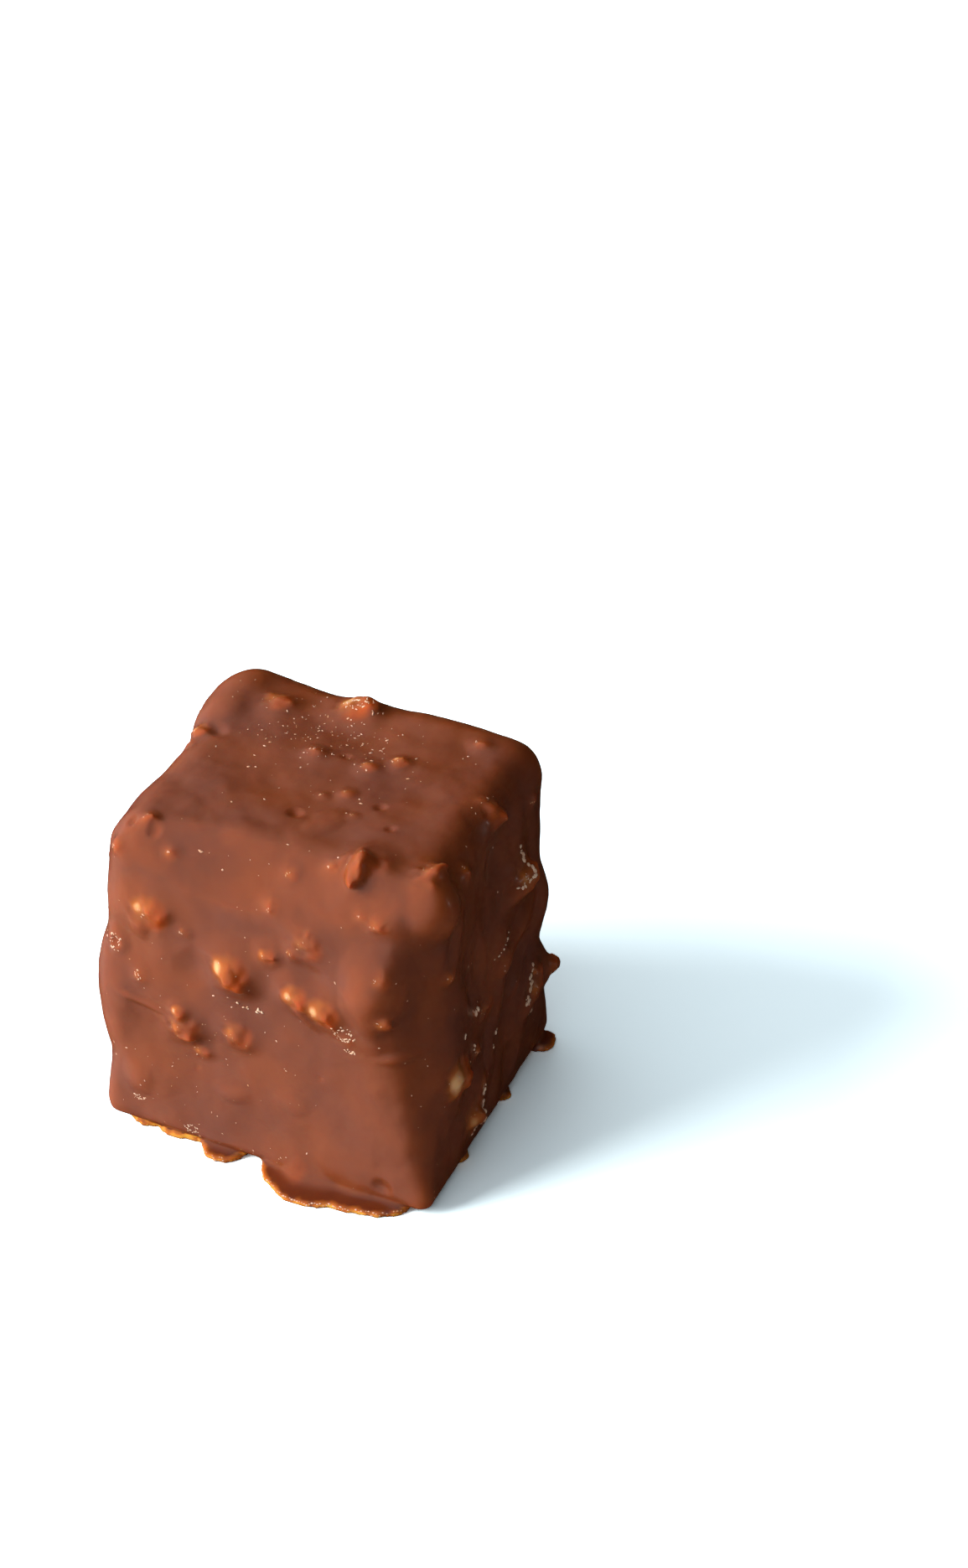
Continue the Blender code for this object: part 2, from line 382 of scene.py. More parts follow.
def footReach(point, outward):
    # how far past the block the foot runs at a point of its outline
    facing = {"front": -outward.y, "right": outward.x, "back": outward.y, "left": -outward.x}
    reach = -foot["tuck"]
    for side, middle, halfLength, tongue in foot["tongues"]:
        along = point.x if side in ("front", "back") else point.y
        across = (along - middle) / halfLength
        if facing[side] > foot["facing"] and abs(across) < 1.0:
            reach = max(reach, (tongue + foot["tuck"]) * math.sqrt(1.0 - across * across) - foot["tuck"])
    for length, height in foot["wobbles"]:
        reach += height * noise.noise(point / length)
    return reach


def makeFoot():
    # rings of the rim from the underside up, each extruded from the one below
    outline = footOutline()
    rim = [point + outward * footReach(point, outward) for point, outward in outline]
    bm = bmesh.new()
    ring = bmesh.ops.create_circle(bm, segments=len(outline), radius=1.0)["verts"]
    edges = list(bm.edges)
    bm.faces.new(ring)
    for level, (height, inset) in enumerate(foot["rings"]):
        if level:
            made = bmesh.ops.extrude_edge_only(bm, edges=edges)["geom"]
            edges = [part for part in made if isinstance(part, bmesh.types.BMEdge) and part.is_boundary]
            below = {vert: i for i, vert in enumerate(ring)}
            for vert in (part for part in made if isinstance(part, bmesh.types.BMVert)):
                for edge in vert.link_edges:
                    if edge.other_vert(vert) in below:
                        ring[below[edge.other_vert(vert)]] = vert
        for i, vert in enumerate(ring):
            vert.co = rim[i] - outline[i][1] * inset
            vert.co.z = height
    bm.faces.new(ring)
    bmesh.ops.recalc_face_normals(bm, faces=bm.faces)
    return bm, rim


# how the coating closes over everything
coating = {
    "voxel": 0.27,
    "settleRounds": 28,
    "fillCreases": 0.85,
    "wearCrests": 0.05,
    "footKeeps": 0.15,  # the thin foot moves only this much
    "footTop": 1.4,
    "skirt": 0.50,  # share of its height by which the coating swells round each nut
    "skirtReach": 2.4,
    "nutRough": (1.0, 0.26),  # length and height of the bumps on the nuts
    "roughReach": 1.4,
    "calmRounds": 40,  # smoothing rounds that give the surroundings a point stands out of
    "ripples": [(5.0, 0.24), (2.4, 0.07), (1.2, 0.03)],  # length and height
    "rippleFrom": 0.3,  # ripples start at this height and are full at this much more
    "rippleFade": 2.0,
    "drainLength": (2.7, 9.0),  # across and down, of the runs on the sides
    "drainFacing": 0.3,
    "drainPattern": {"front": 7.0, "right": 3.0, "back": 3.0, "left": 3.0},
    "drainHeight": {"front": 0.05, "right": 0.21, "back": 0.20, "left": 0.20},
    "reliefFade": 1.5,
    "reliefFacing": 0.1,
    # gentle mounds and hollows of the sides: side, across, up, half length, half breadth, how proud, turn
    "relief": [
        ("front", -12.0, 25.5, 1.3, 2.0, 0.30, 0),
        ("front", -12.0, 16.8, 3.2, 0.8, 0.25, -12),
        ("front", 5.2, 20.2, 2.2, 0.6, 0.25, -50),
        ("front", 2.6, 30.6, 3.2, 2.6, 0.35, -20),
        ("front", 12.4, 25.6, 3.8, 6.0, 0.90, 0),
        ("front", -6.0, 22.6, 3.0, 2.4, -0.25, 30),
        ("front", 6.0, 25.2, 2.6, 1.6, -0.25, -20),
        ("front", -14.8, 22.8, 1.7, 2.0, 0.45, 0),
        ("front", 14.2, 17.6, 2.6, 0.8, 0.22, 8),
        ("front", -13.4, 7.0, 2.0, 2.6, 0.30, 0),
        ("front", -3.0, 8.6, 2.2, 1.7, 0.20, 0),
        ("front", 3.4, 9.4, 2.2, 1.8, 0.20, 0),
        ("front", 12.8, 2.6, 1.2, 1.2, -0.35, 0),
        ("front", -3.0, 32.5, 6.0, 2.2, -0.30, 0),
        ("top", 3.2, -5.8, 2.9, 1.8, 0.30, 70),
        ("top", -2.0, -10.4, 3.8, 2.3, 0.25, -8),
        ("top", -13.0, 3.4, 1.6, 1.0, -0.30, -30),
        ("right", 3.0, 31.0, 4.4, 3.8, -0.70, 0),
        ("right", 5.5, 25.2, 4.2, 1.9, 0.75, 5),
        ("right", 5.0, 19.6, 6.2, 2.0, 0.80, 12),
        ("right", 6.0, 14.8, 5.4, 2.1, -0.70, 25),
        ("right", 8.5, 9.2, 3.4, 1.8, 0.60, 0),
        ("right", -8.2, 29.0, 5.4, 1.3, 0.30, 80),
        ("right", -3.0, 22.0, 1.2, 4.0, -0.30, 8),
        ("right", -6.0, 19.0, 1.3, 4.5, 0.30, 10),
        ("right", -1.0, 9.0, 1.4, 4.0, 0.30, -8),
        ("right", 3.5, 5.5, 2.2, 2.6, -0.35, 0),
        ("back", -6.0, 20.0, 5.5, 2.2, 0.70, 14),
        ("back", 6.0, 12.0, 5.0, 2.4, 0.60, -10),
        ("back", 5.0, 26.0, 4.5, 3.0, -0.50, 0),
        ("left", 3.0, 22.0, 4.5, 2.4, 0.60, -12),
        ("left", -6.0, 13.0, 4.5, 2.2, 0.60, 10),
        ("left", -4.0, 28.0, 3.5, 2.6, -0.40, 0),
    ],
    # burst bubbles: side, across, up, radius, depth
    "pits": [
        ("top", 0.1, -5.8, 0.62, 0.28),
        ("top", 6.9, -1.9, 0.48, 0.22),
        ("top", 0.4, 4.1, 0.32, 0.25),
        ("top", 9.3, -4.8, 0.40, 0.22),
        ("top", -10.9, -12.8, 0.60, 0.30),
        ("top", -13.4, -12.4, 0.42, 0.25),
        ("front", -14.9, 22.6, 0.50, 0.40),
        ("front", -6.9, 9.9, 0.25, 0.15),
        ("front", 6.4, 13.3, 0.25, 0.15),
    ],
    "pitRim": 1.25,
    "pitWall": 0.7,
    "pitPaintedShade": 0.2,  # share of the painted shade colour put in a pit
    "floorSnap": 0.12,  # what lies lower than this is flat on the floor
    "onFloor": 0.01,
}


def joinMeshes(bmeshes, name):
    joined = bmesh.new()
    for bm in bmeshes:
        part = bpy.data.meshes.new("part")
        bm.to_mesh(part)
        joined.from_mesh(part)
        bpy.data.meshes.remove(part)
    data = bpy.data.meshes.new(name)
    joined.to_mesh(data)
    joined.free()
    return data


def closeOver(data):
    # one skin round everything, by a voxel remesh
    holder = bpy.data.objects.new("holder", data)
    bpy.context.scene.collection.objects.link(holder)
    remesh = holder.modifiers.new("skin", "REMESH")
    remesh.mode = "VOXEL"
    remesh.voxel_size = coating["voxel"]
    skin = bpy.data.meshes.new_from_object(holder.evaluated_get(bpy.context.evaluated_depsgraph_get()))
    bpy.data.objects.remove(holder)
    return skin


def vertexSpots(data):
    spots = np.empty(len(data.vertices) * 3)
    data.vertices.foreach_get("co", spots)
    return spots.reshape(-1, 3)


def vertexNormals(data):
    normals = np.empty(len(data.vertices) * 3, dtype=np.float32)
    data.vertex_normals.foreach_get("vector", normals)
    return normals.reshape(-1, 3).astype(float)


def putSpots(data, spots):
    data.vertices.foreach_set("co", spots.ravel())
    data.update()


def edgeEnds(data):
    # both ends of every edge, and how many edges meet at each point
    edges = np.empty(len(data.edges) * 2, dtype=np.int32)
    data.edges.foreach_get("vertices", edges)
    a, b = edges.reshape(-1, 2).T
    count = len(data.vertices)
    return a, b, np.bincount(a, minlength=count) + np.bincount(b, minlength=count)


def meanOfNeighbours(spots, a, b, ends):
    mean = np.empty_like(spots)
    for axis in range(3):
        value = spots[:, axis]
        total = np.bincount(a, value[b], len(spots)) + np.bincount(b, value[a], len(spots))
        mean[:, axis] = total / ends
    return mean


def settle(data):
    # the wet coating runs into the creases and thins over what stands out
    a, b, ends = edgeEnds(data)
    spots = vertexSpots(data)
    for _ in range(coating["settleRounds"]):
        normals = vertexNormals(data)
        pull = meanOfNeighbours(spots, a, b, ends) - spots
        outwards = (pull * normals).sum(axis=1) > 0
        share = np.where(outwards, coating["fillCreases"], coating["wearCrests"])
        share *= np.where(spots[:, 2] < coating["footTop"], coating["footKeeps"], 1.0)
        spots += pull * share[:, None]
        putSpots(data, spots)


def rippleAndPit(data, surface, lying):
    # slow waves, runs down the sides, mounds, small burst bubbles, and the swelling and bumps round each nut
    spots = vertexSpots(data)
    normals = vertexNormals(data)
    sides = ("front", "back", "right", "left", "top")
    facing = {side: normals @ np.array(sideFrame(side)[3]) for side in sides}
    acrossRun, downRun = coating["drainLength"]
    squarely = coating["drainFacing"]
    rise = np.zeros(len(spots))
    for i, spot in enumerate(spots):
        place = Vector(spot)
        rise[i] = sum(height * noise.noise(place / size) for size, height in coating["ripples"])
        for side, height in coating["drainHeight"].items():
            if facing[side][i] > squarely:
                along = place.x if side in ("front", "back") else place.y
                strength = height * (facing[side][i] - squarely) / (1.0 - squarely)
                pattern = coating["drainPattern"][side]
                rise[i] += strength * noise.noise((along / acrossRun, place.z / downRun, pattern))
    for side, across, up, halfLength, halfBreadth, height, turn in coating["relief"]:
        origin, a, b, _ = sideFrame(side)
        gap = spots - np.array(origin)
        u, v = gap @ np.array(a) - across, gap @ np.array(b) - up
        c, d = math.cos(math.radians(turn)), math.sin(math.radians(turn))
        far = ((u * c + v * d) / halfLength) ** 2 + ((v * c - u * d) / halfBreadth) ** 2
        mound = height * np.clip(1.0 - far, 0, 1) ** coating["reliefFade"]
        rise += mound * np.clip((facing[side] - coating["reliefFacing"]) * 2, 0, 1)
    rise *= np.clip((spots[:, 2] - coating["rippleFrom"]) / coating["rippleFade"], 0, 1)
    spots += normals * rise[:, None]
    # the pits' mask, for the painted shade put in them
    pit = np.zeros(len(spots))
    for side, across, up, radius, pitDepthAndShade in coating["pits"]:
        middle, _ = landing(surface, side, across, up)
        flat = 1 - np.abs(np.array(sideFrame(side)[3]))
        far = np.linalg.norm((spots - np.array(middle)) * flat, axis=1) / radius
        near = np.clip(coating["pitRim"] - far, 0, 1) * (facing[side] > squarely)
        spots -= normals * (pitDepthAndShade * near ** coating["pitWall"])[:, None]
        pit = np.maximum(pit, np.clip(near * 2, 0, 1))
    size, height = coating["nutRough"]
    for _, _, _, spot, outward, radius, proud, _ in lying:
        far = np.linalg.norm(spots - np.array(spot), axis=1) / radius
        broad = np.clip(1 - (far / coating["skirtReach"]) ** 2, 0, 1) ** 2
        spots += np.array(outward) * (coating["skirt"] * proud * broad)[:, None]
        for i in np.where(far < coating["roughReach"])[0]:
            share = min(1.0, 2 * (coating["roughReach"] - far[i])) * min(1.0, proud)
            spots[i] += np.array(outward) * share * height * noise.noise(Vector(spots[i]) / size)
    spots[:, 2] = np.where(spots[:, 2] < coating["floorSnap"], 0.0, spots[:, 2])
    putSpots(data, spots)
    return pit


def raisedParts(data):
    # how far each point stands out of its wider surroundings, in mm
    a, b, ends = edgeEnds(data)
    spots = vertexSpots(data)
    calm = spots
    for _ in range(coating["calmRounds"]):
        calm = meanOfNeighbours(calm, a, b, ends)
    return ((spots - calm) * vertexNormals(data)).sum(axis=1)


# how the colour lies over a nut, partly the thin coat and partly a painted highlight and painted shade, in
# shares of its radius unless in mm
nutColour = {
    "reach": 1.35,
    "crest": 1.4,  # a higher number brings the crest's colour further down the nut
    "crestShare": 0.28,
    "tipLeft": 0.5,  # the palest spot, a painted highlight, stands left of the middle and above it, towards the light
    "tipUp": 0.15,
    "tipStray": (0.3, 0.5),
    "tipStretch": 0.7,
    "tipBreadth": 0.10,
    "tipShare": 0.75,
    "tipHeight": 0.35,  # mm
    "strayLength": 2.0,  # mm
    "leastProud": 0.3,  # mm
    "bareFrom": 0.9,  # the barest nuts have a broader pale patch, partly bare nut and partly painted highlight
    "bareBreadth": 0.26,
    # the side away from the light, painted with shade: how much everywhere, to the right, and less upwards
    "shadedSide": (0.15, 0.9, 0.3),
    "shadedSideCrest": 2.5,
    "shadedSideFullSize": 1.4,  # mm; smaller nuts get less painted shade
    "shadedSideThick": 0.25,  # share of the painted shade where the coating is thick
}


def markNuts(data, lying):
    # how thin the coating is over each nut, thinnest on its crest, with a painted highlight towards its left
    # as seen from outside and painted shade on its far side
    spots = vertexSpots(data)
    thinnessAndHighlight = np.zeros(len(spots))
    pitDepthAndShade = np.zeros(len(spots))
    for side, _, _, spot, outward, radius, proud, thinAndHighlight in lying:
        gap = spots - np.array(spot)
        height = gap @ np.array(outward)
        _, a, b, _ = sideFrame(side)
        sideways = gap @ np.array(a) / radius
        upways = gap @ np.array(b) / radius
        flat = np.sqrt(sideways ** 2 + upways ** 2)
        near = np.clip((nutColour["reach"] - flat) * 2, 0, 1) * (np.abs(height) < proud + radius)
        crest = np.clip(height * nutColour["crest"] / max(proud, nutColour["leastProud"]), 0, 1)
        everywhere, rightwards, upwards = nutColour["shadedSide"]
        # painted shade on the nut's right and lower side, away from the light
        shadedSide = np.clip(everywhere + rightwards * sideways - upwards * upways, 0, 1)
        stray = noise.noise(spot / nutColour["strayLength"])
        left = sideways + nutColour["tipLeft"] + nutColour["tipStray"][0] * stray
        above = upways - nutColour["tipUp"] - nutColour["tipStray"][1] * stray
        far = left ** 2 + above ** 2 * nutColour["tipStretch"]
        breadth = nutColour["bareBreadth" if thinAndHighlight > nutColour["bareFrom"] else "tipBreadth"]
        tipHighlight = np.exp(-far / breadth) * np.clip(height / nutColour["tipHeight"], 0, 1)
        # pale where the coat is thin, with a painted highlight: the crest away from the shade and the tip
        # towards the light
        paleHighlight = nutColour["crestShare"] * crest * (1 - shadedSide) + nutColour["tipShare"] * tipHighlight
        thinnessAndHighlight = np.maximum(thinnessAndHighlight, thinAndHighlight * near * paleHighlight)
        # how strong the painted shade is: less on small nuts and where the coating is thick
        size = min(1.0, radius / nutColour["shadedSideFullSize"])
        size *= nutColour["shadedSideThick"] + (1.0 - nutColour["shadedSideThick"]) * thinAndHighlight
        pitDepthAndShade = np.maximum(pitDepthAndShade, size * near * shadedSide * np.clip(crest * nutColour["shadedSideCrest"], 0, 1))
    return thinnessAndHighlight, pitDepthAndShade


def markFoot(data, rim):
    # the foot, dark near the floor, partly its own colour and partly painted shade under the body, and its
    # rim, painted glowing where light comes through
    spots = vertexSpots(data)
    darkFootAndShade = np.clip((foot["darkBelow"] - spots[:, 2]) / foot["darkFade"], 0, 1)
    # painted glow along the rim, fading inwards
    glow = np.zeros(len(spots))
    outline = np.array([(point.x, point.y) for point in rim])
    for i in np.where(spots[:, 2] < foot["glowBelow"])[0]:
        nearest = np.hypot(outline[:, 0] - spots[i, 0], outline[:, 1] - spots[i, 1]).min()
        change = foot["glowChange"] * noise.noise(Vector(spots[i]) / foot["glowLength"])
        glow[i] = math.exp(-nearest / (foot["glowWidth"] * (1.0 + change)))
    return darkFootAndShade, glow


def setAttribute(data, name, values):
    data.attributes.new(name, "FLOAT", "POINT").data.foreach_set("value", values.astype(np.float32))


def flatUnderside(bm):
    # the flat underside needs no fine mesh
    flat = [f for f in bm.faces if all(v.co.z < coating["onFloor"] for v in f.verts)]
    bmesh.ops.dissolve_faces(bm, faces=flat, use_verts=False)


def makeCoating():
    blockMesh = makeBlock()
    surface = BVHTree.FromBMesh(blockMesh)
    chips, lying = makeChips(surface)
    footMesh, rim = makeFoot()
    print("praline: block, nuts and foot shaped")
    data = closeOver(joinMeshes([blockMesh, chips, footMesh], "coating"))
    print("praline: coating closed over,", len(data.polygons), "faces")
    settle(data)
    pit = rippleAndPit(data, surface, lying)
    thinnessAndHighlight, pitDepthAndShade = markNuts(data, lying)
    darkFootAndShade, glow = markFoot(data, rim)
    # thin coat over the nuts together with the painted highlight on their lit side
    setAttribute(data, "thinNutAndHighlight", thinnessAndHighlight)
    # painted glow: crests that stand out get a lighter, more orange colour
    setAttribute(data, "paintedCrestGlow", raisedParts(data))
    # painted shade: the nuts' far sides, and a share in the pits
    setAttribute(data, "paintedShade", np.maximum(pitDepthAndShade, pit * coating["pitPaintedShade"]))
    # the dark foot: partly its own colour, partly painted shade under the body
    setAttribute(data, "darkFootAndShade", darkFootAndShade)
    # painted glow and glint along the foot's rim
    setAttribute(data, "paintedRimGlow", glow)
    bm = bmesh.new()
    bm.from_mesh(data)
    flatUnderside(bm)
    surface = BVHTree.FromBMesh(bm)
    bmesh.ops.scale(bm, vec=(mm, mm, mm), verts=bm.verts)
    bm.to_mesh(data)
    bm.free()
    data.shade_smooth()
    made = bpy.data.objects.new("coating", data)
    bpy.context.scene.collection.objects.link(made)
    print("praline: coating set,", len(data.polygons), "faces")
    return made, surface, rim, lying


# crumbs of nut and sugar that show through the coating as light specks; the pale curls, lines, specks on
# nuts and rim crinkles are painted glints and highlights
crumbs = {
    "seed": 5,
    "proud": 0.40,
    "lengthShare": (1.0, 2.0),
    "breadthShare": (0.7, 1.0),
    "margin": 1.5,
    "mostlySmall": 2.0,  # a higher number makes more of the scattered ones small
    # scattered about a middle: side, across, up, spread across, spread up, how many, smallest, largest
    "scatter": [
        ("top", -3.0, 7.5, 4.5, 2.6, 130, 0.07, 0.18),
        ("top", 1.0, 1.0, 8.0, 7.0, 70, 0.06, 0.22),
        ("front", -6.0, 9.0, 7.0, 6.0, 60, 0.06, 0.16),
        ("front", 2.0, 22.0, 8.0, 8.0, 50, 0.06, 0.18),
        ("right", -2.0, 16.0, 7.0, 9.0, 30, 0.06, 0.16),
        ("back", 0.0, 18.0, 9.0, 9.0, 110, 0.06, 0.20),
        ("left", 0.0, 18.0, 8.0, 9.0, 90, 0.06, 0.20),
    ],
    # crinkled curls of paler crumbs, partly whitish scuffs and partly painted glints: side, across, up,
    # radius across, radius up, how many, size
    "curls": [
        ("front", -13.6, 4.1, 0.65, 0.38, 16, 0.16),
        ("front", -7.9, 2.2, 0.75, 0.45, 18, 0.17),
        ("front", -14.9, 22.6, 0.75, 0.95, 20, 0.17),
        ("front", 9.1, 19.7, 1.25, 0.95, 26, 0.20),
        ("front", 9.5, 19.2, 0.55, 0.45, 10, 0.16),
        ("front", 9.6, 17.6, 0.60, 0.22, 9, 0.20),
        ("front", -12.2, 20.0, 0.28, 0.60, 9, 0.14),
        ("top", -1.9, 11.6, 1.5, 0.9, 22, 0.18),
    ],
    "curlSpread": (0.35, 1.15),
    "curlSize": (0.35, 1.0),
    "curlGlint": 0.5,
    # crinkled lines of pale crumbs, painted glints along the ridges: side, start across and up, end across
    # and up, how many, size
    "streaks": [
        ("front", -1.6, 19.6, -0.7, 19.1, 5, 0.11),
        ("front", -0.1, 19.2, 0.6, 18.9, 5, 0.12),
        ("right", 6.9, 28.6, 6.6, 26.2, 16, 0.19),
        ("right", 6.6, 26.2, 4.2, 25.9, 12, 0.16),
        ("right", 2.9, 21.6, -0.4, 20.4, 8, 0.12),
        ("right", 9.6, 12.6, 6.9, 9.7, 20, 0.18),
        ("right", -3.2, 7.4, -3.9, 5.4, 9, 0.14),
        ("right", -3.9, 5.4, -5.8, 3.2, 18, 0.18),
        ("right", -4.0, 17.4, -4.3, 16.9, 2, 0.20),
        ("right", -6.7, 16.2, -6.8, 15.8, 2, 0.13),
        ("right", -4.7, 13.2, -4.8, 12.5, 3, 0.14),
        ("right", -0.2, 10.1, -0.4, 9.5, 2, 0.13),
        ("right", 1.1, 11.2, 0.9, 10.6, 2, 0.14),
        ("right", 8.5, 8.4, 8.1, 7.8, 3, 0.15),
    ],
    "streakProud": 1.0,
    "streakGap": 0.8,
    "streakStray": 0.14,
    "streakSize": (0.4, 1.2),
    "streakGlint": (0.3, 1.0),
    "turnStray": 0.6,  # in radians, of the crumbs in curls and lines
    "onNuts": 3,  # specks on the crest of each lump of nut, left of its middle: painted highlights
    "onNutsAside": (0.1, 0.8),
    "onNutsUp": (-0.4, 0.5),
    "onNutsSize": (0.05, 0.08),  # smallest, and how much larger at most
    "rimEvery": 0.25,  # a pale crumb on the rim of the foot about every so many mm, a painted glint
    "rimInside": (0.05, 0.35),
    "rimSize": (0.07, 0.15),
    "rimBelow": 1.0,
    "cream": (0.74, 0.46, 0.34, 1),
    "toffee": (0.50, 0.22, 0.10, 1),
    "paintedGlint": (0.86, 0.62, 0.44, 1),  # the crinkled lines, a painted glint colour
    "shadeNoise": (420.0, 2.0),
    "shadeRange": (0.35, 0.65),
    "roughness": 0.45,
}


def makeCrumbs(surface, rim, lying):
    chance = random.Random(crumbs["seed"])
    bm = bmesh.new()
    paleHighlight = bm.verts.layers.float.new("paleHighlight")

    def drop(side, across, up, size, heading, proud=crumbs["proud"], glintShare=0.0):
        # one crumb, partly sunk, longer along its heading
        spot, outward = landing(surface, side, across, up)
        sink = spot + outward * size * (proud - 1.0)
        _, a, b, _ = sideFrame(side)
        along = a * math.cos(heading) + b * math.sin(heading)
        breadth = outward.cross(along).normalized()
        turn = Matrix((breadth.cross(outward), breadth, outward)).transposed().to_4x4()
        wide = size * chance.uniform(*crumbs["lengthShare"])
        narrow = size * chance.uniform(*crumbs["breadthShare"])
        place = Matrix.Translation(sink) @ turn @ Matrix.Diagonal((wide, narrow, size, 1))
        for vert in bmesh.ops.create_icosphere(bm, subdivisions=1, radius=1.0, matrix=place)["verts"]:
            vert[paleHighlight] = glintShare

    for side, across, up, spreadAcross, spreadUp, count, smallest, largest in crumbs["scatter"]:
        margin = crumbs["margin"]
        reach = (block["pitDepthAndShade"] if side in ("right", "left") else block["width"]) / 2 - margin
        low, high = margin, block["height"] - margin
        if side == "top":
            low, high = margin - block["pitDepthAndShade"] / 2, block["pitDepthAndShade"] / 2 - margin
        for _ in range(count):
            size = smallest + (largest - smallest) * chance.random() ** crumbs["mostlySmall"]
            x = max(-reach, min(reach, chance.gauss(across, spreadAcross)))
            y = max(low, min(high, chance.gauss(up, spreadUp)))
            drop(side, x, y, size, chance.uniform(0, math.pi))
    # curls of paler crumbs, partly painted glints
    for side, across, up, radiusAcross, radiusUp, count, size in crumbs["curls"]:
        for i in range(count):
            angle = 2 * math.pi * (i + chance.uniform(-0.5, 0.5)) / count
            wide = chance.uniform(*crumbs["curlSpread"])
            x, y = radiusAcross * wide * math.cos(angle), radiusUp * wide * math.sin(angle)
            heading = math.atan2(radiusUp * math.cos(angle), -radiusAcross * math.sin(angle))
            heading += chance.gauss(0, crumbs["turnStray"])
            small = size * chance.uniform(*crumbs["curlSize"])
            drop(side, across + x, up + y, small, heading, glintShare=crumbs["curlGlint"])
    # lines of pale crumbs, painted glints
    for side, startAcross, startUp, endAcross, endUp, count, size in crumbs["streaks"]:
        heading = math.atan2(endUp - startUp, endAcross - startAcross)
        for i in range(count):
            share = (i + chance.uniform(0, crumbs["streakGap"])) / count
            x = startAcross + (endAcross - startAcross) * share + chance.gauss(0, crumbs["streakStray"])
            y = startUp + (endUp - startUp) * share + chance.gauss(0, crumbs["streakStray"])
            small = size * chance.uniform(*crumbs["streakSize"])
            turned = heading + chance.gauss(0, crumbs["turnStray"])
            drop(side, x, y, small, turned, crumbs["streakProud"], chance.uniform(*crumbs["streakGlint"]))
    # pale specks left of each nut's crest, painted highlights
    smallest, larger = crumbs["onNutsSize"]
    for side, across, up, _, _, radius, _, _ in lying:
        for _ in range(crumbs["onNuts"]):
            x = across - radius * chance.uniform(*crumbs["onNutsAside"])
            y = up + radius * chance.uniform(*crumbs["onNutsUp"])
            drop(side, x, y, smallest + larger * chance.random(), chance.uniform(0, math.pi))
    # pale crumbs along the foot's rim, painted glints
    for i in range(0, len(rim), round(crumbs["rimEvery"] / foot["step"])):
        inside = (rim[i] * -1).normalized() * chance.uniform(*crumbs["rimInside"])
        over = rim[i] + inside
        ahead = rim[(i + 1) % len(rim)] - rim[i]
        if landing(surface, "top", over.x, over.y)[0].z < crumbs["rimBelow"]:
            drop("top", over.x, over.y, chance.uniform(*crumbs["rimSize"]), math.atan2(ahead.y, ahead.x))
    bmesh.ops.scale(bm, vec=(mm, mm, mm), verts=bm.verts)
    data = bpy.data.meshes.new("crumbs")
    bm.to_mesh(data)
    bm.free()
    data.shade_smooth()
    made = bpy.data.objects.new("crumbs", data)
    bpy.context.scene.collection.objects.link(made)
    return made


# milk chocolate: a satin skin with light going a little way in
chocolate = {
    "base": (0.176, 0.041, 0.0145, 1),
    "ruddy": (0.228, 0.049, 0.010, 1),
    # painted glow on the crests that stand out
    "paintedCrestGlow": (0.330, 0.070, 0.012, 1),
    # thin coat over nuts and the painted highlight on their lit side
    "toffee": (0.40, 0.100, 0.010, 1),
    "nut": (0.74, 0.40, 0.17, 1),
    # painted shade colour for the nuts' far sides and the pits
    "paintedShadeColour": (0.470, 0.072, 0.002, 1),
    # the dark foot: partly its own colour, partly painted shade under the body
    "darkFootAndShade": (0.125, 0.019, 0.002, 1),
    # painted glow and glint along the foot's rim
    "rim": (0.60, 0.160, 0.010, 1),
    "rimEdgeGlint": (0.85, 0.40, 0.045, 1),
    "roughness": 0.36,
    "coat": 0.2,
    "coatRoughness": 0.12,
    "scatter": 0.6,
    "scatterDepth": 1.4,
    "scatterReach": (1.0, 0.30, 0.10),
    "blotchNoise": (130.0, 4.0),  # scale and detail
    # from which value each colour starts, and at which it is full
    "blotchRange": (0.35, 0.65),
    "crestGlowRange": (0.05, 0.45),
    "crestGlowShare": 0.8,
    "toffeeRange": (0.03, 0.40),
    "nutRange": (0.38, 0.80),
    "rimGlowRange": (0.15, 0.75),
    "rimEdgeGlintRange": (0.60, 0.90),
    "grainNoise": (1100.0, 5.0),
    "grainStrength": 0.12,
    "grainDepth": 0.1,  # mm
}


def mixColours(nodes, links, factor, first, second):
    # factor is a socket; first and second are sockets or fixed colours
    mix = nodes.new("ShaderNodeMix")
    mix.data_type = "RGBA"
    links.new(factor, mix.inputs["Factor"])
    for name, value in (("A", first), ("B", second)):
        if isinstance(value, tuple):
            mix.inputs[name].default_value = value
        else:
            links.new(value, mix.inputs[name])
    return mix.outputs["Result"]


def attribute(nodes, name):
    node = nodes.new("ShaderNodeAttribute")
    node.attribute_name = name
    return node.outputs["Fac"]


def noiseTexture(nodes, links, place, scale, detail):
    node = nodes.new("ShaderNodeTexNoise")
    node.inputs["Scale"].default_value = scale
    node.inputs["Detail"].default_value = detail
    links.new(place, node.inputs["Vector"])
    return node.outputs["Fac"]


def mapRange(nodes, links, value, fromLow, fromHigh, toLow=0.0, toHigh=1.0):
    node = nodes.new("ShaderNodeMapRange")
    links.new(value, node.inputs["Value"])
    numbers = {"From Min": fromLow, "From Max": fromHigh, "To Min": toLow, "To Max": toHigh}
    for name, number in numbers.items():
        node.inputs[name].default_value = number
    return node.outputs["Result"]


